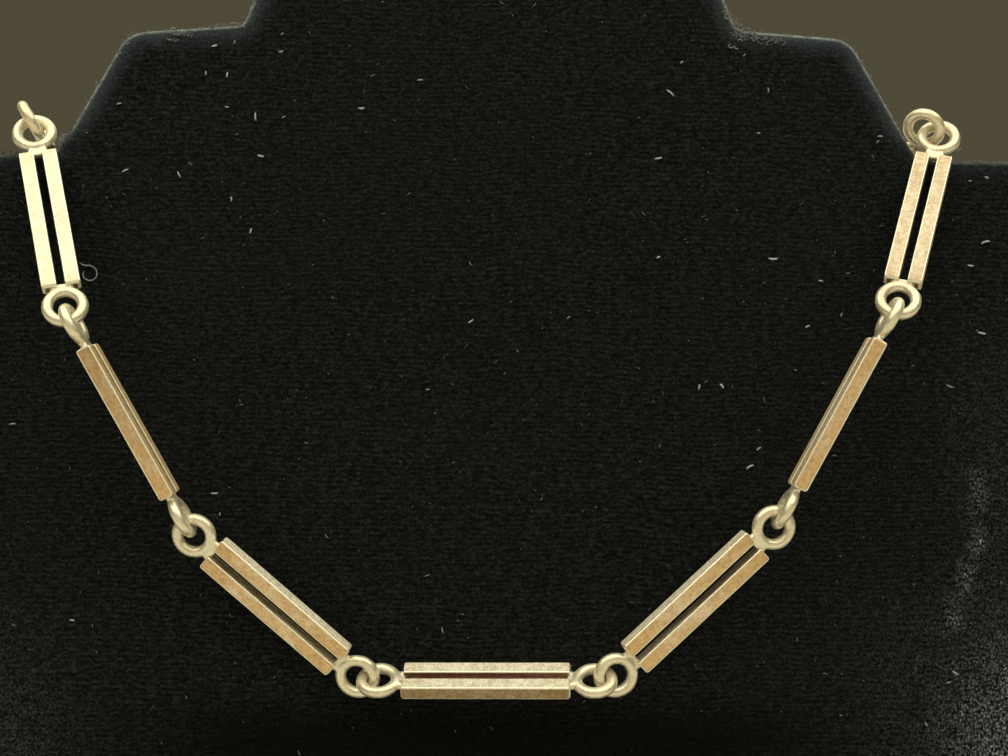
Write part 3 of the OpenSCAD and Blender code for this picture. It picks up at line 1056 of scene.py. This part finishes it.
# The lint that stands out in the photograph: place on the display, length and direction
LARGE_LINT = [
    (-32.3, 157.0, 0.9, 168), (69.1, 133.0, 1.2, 168), (-39.2, 172.9, 0.8, 18), (39.8, 143.2, 1.4, 179),
    (36.1, 114.0, 1.2, 29), (32.4, 125.2, 0.8, 131), (70.0, 146.1, 1.4, 17), (67.8, 142.6, 0.9, 175),
    (-18.3, 164.1, 0.9, 4), (23.7, 157.5, 1.1, 9), (-37.3, 168.7, 0.8, 83), (44.5, 133.7, 0.7, 24),
    (25.5, 167.1, 1.4, 139), (-33.2, 162.7, 1.2, 94), (23.6, 143.3, 0.6, 27), (70.5, 155.4, 0.6, 160),
    (-33.4, 146.3, 0.8, 75), (29.2, 125.0, 0.8, 79), (-37.4, 109.7, 1.0, 0), (64.0, 86.0, 0.9, 148),
    (-36.2, 150.8, 0.7, 95), (-51.1, 154.7, 1.0, 26), (-56.0, 92.5, 0.7, 173), (-43.6, 154.2, 1.0, 119),
    (-40.3, 168.9, 0.6, 90), (-2.6, 133.9, 0.9, 35), (68.0, 103.9, 0.6, 90), (46.5, 140.2, 0.7, 170),
    (-29.8, 172.2, 0.7, 9), (-52.3, 164.3, 0.7, 15), (37.4, 116.5, 0.8, 36), (27.1, 171.6, 0.6, 45),
    (-37.2, 164.0, 0.6, 172), (55.4, 161.2, 0.8, 179), (-65.1, 119.0, 1.0, 4), (-36.6, 106.9, 0.5, 90),
    (38.0, 161.4, 0.5, 0), (59.8, 79.1, 0.6, 117), (64.8, 80.4, 0.5, 90), (-10.1, 168.4, 0.9, 3),
    (64.4, 125.4, 1.1, 160), (68.1, 154.9, 0.5, 0), (70.9, 86.6, 0.6, 30), (49.3, 135.4, 0.6, 63),
    (63.0, 84.7, 0.7, 15), (-29.7, 174.8, 0.5, 45), (-6.1, 91.4, 0.9, 102), (-36.4, 173.5, 0.6, 70),
    (-8.5, 124.3, 0.6, 8), (39.5, 167.7, 0.8, 90), (-29.2, 162.7, 0.6, 30), (36.1, 172.8, 0.5, 45),
    (11.0, 134.6, 0.7, 35), (55.0, 160.4, 0.6, 53), (-43.8, 174.5, 0.9, 10), (-46.0, 174.9, 0.6, 0),
    (-51.4, 173.0, 0.6, 40), (-55.6, 167.2, 0.5, 60), (-52.4, 171.6, 0.5, 50),
]


# A hooked fibre beside the left link
HOOK = [
    (-56.7, 141.45), (-56.3, 141.2), (-55.8, 141.04), (-55.35, 141.08), (-54.9, 140.95), (-54.4, 140.54),
    (-54.25, 139.96), (-54.4, 139.38), (-54.9, 139.04), (-55.4, 139.0), (-55.9, 139.21), (-56.15, 139.54),
    (-56.2, 139.96), (-56.0, 140.3),
]
# Loops of pile at the feet of the neck and on the left shoulder: middle, radius, first angle and sweep
LOOPS = [
    (35.6, 176.8, 0.42, 0.5, 5.4), (34.2, 174.1, 0.32, 1.9, 4.2), (35.5, 174.8, 0.32, 0.2, 3.0),
    (35.0, 173.9, 0.26, 2.4, 3.2), (33.7, 178.4, 0.36, 2.0, 3.2), (37.6, 175.9, 0.4, 1.4, 2.4),
    (-34.8, 176.0, 0.4, 1.5, 3.0), (-36.6, 175.9, 0.4, 0.2, 2.6), (-38.6, 175.7, 0.45, 2.0, 2.4),
    (-45.0, 174.9, 0.5, 0.8, 2.2), (-42.3, 174.6, 0.6, 0.9, 1.6), (-43.4, 174.2, 0.7, 1.2, 1.3),
    (-44.6, 173.9, 0.6, 0.7, 1.7), (-41.2, 174.9, 0.5, 1.0, 1.8),
]
# Bunches of short curls in the same places: first and last middle, count and spread
BUNCHES = [
    (33.0, 179.4, 35.6, 176.9, 70, 0.28), (35.2, 177.2, 38.2, 175.6, 70, 0.22), (34.6, 175.9, 36.6, 175.3, 90, 0.28),
    (36.8, 175.4, 42.0, 174.8, 140, 0.26), (-41.0, 175.5, -35.0, 176.2, 100, 0.16),
    (-44.8, 174.7, -42.6, 174.5, 90, 0.20), (-45.8, 173.7, -44.4, 173.6, 30, 0.12),
]


def make_lint():
    """Specks and threads of lint: the large ones as in the photograph, the small ones scattered."""
    rng = np.random.default_rng(11)
    fibres = Fibres()
    for k, (x, up, length, degrees) in enumerate(LARGE_LINT):
        small = k / len(LARGE_LINT)
        fibres.speck(x, up, length, degrees, 1.0 - 0.55 * small, 0.14 - 0.06 * small, rng.uniform(-0.5, 0.5))
    places = rng.uniform((-80, 8), (80, 197), (900, 2))
    places = places[inside(EDGE, places)]
    places = places[distance_to(EDGE, places) > 1.5]
    for x, up in places:
        length = rng.choice([0.2, 0.3, 0.5, 0.8], p=[0.35, 0.35, 0.22, 0.08])
        degrees, tone, radius = rng.uniform(0, 180), rng.uniform(0.0, 0.4), rng.uniform(0.04, 0.08)
        fibres.speck(x, up, length, degrees, tone, radius, rng.uniform(-0.8, 0.8))
    fibres.add([(x - 0.15, -0.1 - 0.15 * math.sin(k * 0.5), up) for k, (x, up) in enumerate(HOOK)], 0.09, 0.62)
    # a straight fibre on the right shoulder
    fibres.add([(66.1, -0.1, 158.9), (66.4, -0.5, 159.2), (66.8, -0.8, 159.4)], 0.06, 0.9)
    for x, up, r, start, sweep in LOOPS:
        path = []
        for t in np.linspace(0, 1, 9):
            a = start + sweep * t
            path.append((x + r * math.cos(a), 0.08 * math.sin(5 * t) - 0.08, up + r * math.sin(a)))
        fibres.add(path, 0.065, 0.55)
    for ax, az, bx, bz, count, spread in BUNCHES:
        for _ in range(count):
            t, a, r = rng.uniform(), rng.uniform(0, 2 * math.pi), rng.uniform(0.12, 0.3)
            x, up = ax + (bx - ax) * t + rng.normal(0, spread), az + (bz - az) * t + rng.normal(0, spread)
            turns = (0, 0.6, 1.2, 1.8)
            path = [(x + r * math.cos(a + k), 0.02 - 0.08 * k, up + 0.5 * r * math.sin(a + k)) for k in turns]
            fibres.add(path, rng.uniform(0.035, 0.06), rng.uniform(0.1, 0.65), 3)
    fibres.done("lint_on_velvet")


def make_fuzz(count=6500):
    """Short loose pile that stands out along the rim of the display, thickest on the left shoulder."""
    rng = np.random.default_rng(23)
    fibres = Fibres()
    away = outward(EDGE)
    worn = 0.5 + 0.5 * waves(np.stack([EDGE[:, 0], 0 * EDGE[:, 0], EDGE[:, 1]], 1), 31, 9.0)
    for _ in range(count):
        k = rng.integers(len(EDGE))
        x, up = EDGE[k]
        if up < 3:
            continue
        ragged = 154 < up < 161 and x < -56
        if rng.random() > 0.3 + 0.7 * worn[k] and not ragged:
            continue
        nx, nz = away[k]
        tilt = rng.normal(0, 0.7)
        dx, dz = nx * math.cos(tilt) - nz * math.sin(tilt), nx * math.sin(tilt) + nz * math.cos(tilt)
        length = rng.uniform(0.15, 0.5) * (2.4 if ragged else 1.0)
        inset, out = rng.uniform(0.0, 0.25), rng.uniform(0.5, 1.9)
        sx, sz = x - nx * inset + rng.uniform(-0.3, 0.3) * nz, up - nz * inset - rng.uniform(-0.3, 0.3) * nx
        lift = rng.uniform(-0.2, 0.2)
        path = []
        for t in (0, 0.5, 1):
            run, bow = length * t, 0.1 * t * t
            path.append((sx + dx * run + nz * bow, out + lift * t, sz + dz * run - nx * bow))
        fibres.add(path, rng.uniform(0.03, 0.055), rng.uniform(0.0, 0.18) if ragged else rng.uniform(0.1, 0.6), 3)
    # pile bunched up where the left slope meets its shoulder
    corner = EDGE[(EDGE[:, 0] < -59.4) & (EDGE[:, 0] > -61.6) & (EDGE[:, 1] > 150)]
    for _ in range(300):
        x, up = corner[rng.integers(len(corner))] + rng.uniform((-0.3, -0.2), (0.15, 0.3))
        a, length = rng.normal(2.3, 0.6), rng.uniform(0.25, 0.7)
        path = []
        for t in (0, 0.5, 1):
            out = rng.uniform(0.1, 1.0)
            path.append((x + length * t * math.cos(a + t), out, up + length * t * math.sin(a + t)))
        fibres.add(path, rng.uniform(0.035, 0.06), rng.uniform(0.3, 0.9), 3)
    fibres.done("loose_pile")


# -------- build

for number, node in enumerate(LINKS, 1):
    make_link(number, node)
make_clasp()
make_velvet()
make_card()
dress_leg()
make_lint()
make_fuzz()


# -------- floor, light and backdrop

def make_floor():
    material, _ = new_material(
        "pale_floor", Base_Color=(0.72, 0.69, 0.63, 1), Roughness=0.8, Specular_IOR_Level=0.2,
    )
    bm = bmesh.new()
    bmesh.ops.create_circle(bm, cap_ends=True, segments=96, radius=1.9)
    mesh = bpy.data.meshes.new("floor")
    bm.to_mesh(mesh)
    bm.free()
    mesh.materials.append(material)
    linked("floor", mesh)


def area_light(name, size, radiance, colour, place, target):
    """A soft panel. Radiance is how bright its face looks."""
    data = bpy.data.lights.new(name, "AREA")
    data.shape = "RECTANGLE"
    data.size, data.size_y = size
    data.energy = radiance * math.pi * size[0] * size[1]
    data.color = colour
    light = bpy.data.objects.new(name, data)
    light.location = place
    light.rotation_euler = (Vector(target) - Vector(place)).to_track_quat("-Z", "Y").to_euler()
    light.visible_camera = False
    bpy.context.scene.collection.objects.link(light)


def make_light():
    middle = (0, 0.02, 0.09)
    area_light("overhead_panel", (2.0, 1.5), 1.75, (1.0, 0.97, 0.69), (0.0, 0.0, 0.85), middle)
    area_light("front_panel", (2.1, 0.9), 0.43, (1.0, 0.80, 0.50), (0.0, -1.15, 0.36), middle)
    area_light("back_panel", (2.2, 0.7), 0.62, (1.0, 0.95, 0.72), (0.0, 1.25, 0.72), middle)
    world = bpy.data.worlds.new("backdrop")
    world.use_nodes = True
    world.node_tree.nodes["Background"].inputs["Color"].default_value = (0.078, 0.069, 0.040, 1)
    bpy.context.scene.world = world
    bpy.context.scene.view_settings.view_transform = "Standard"


make_floor()
make_light()
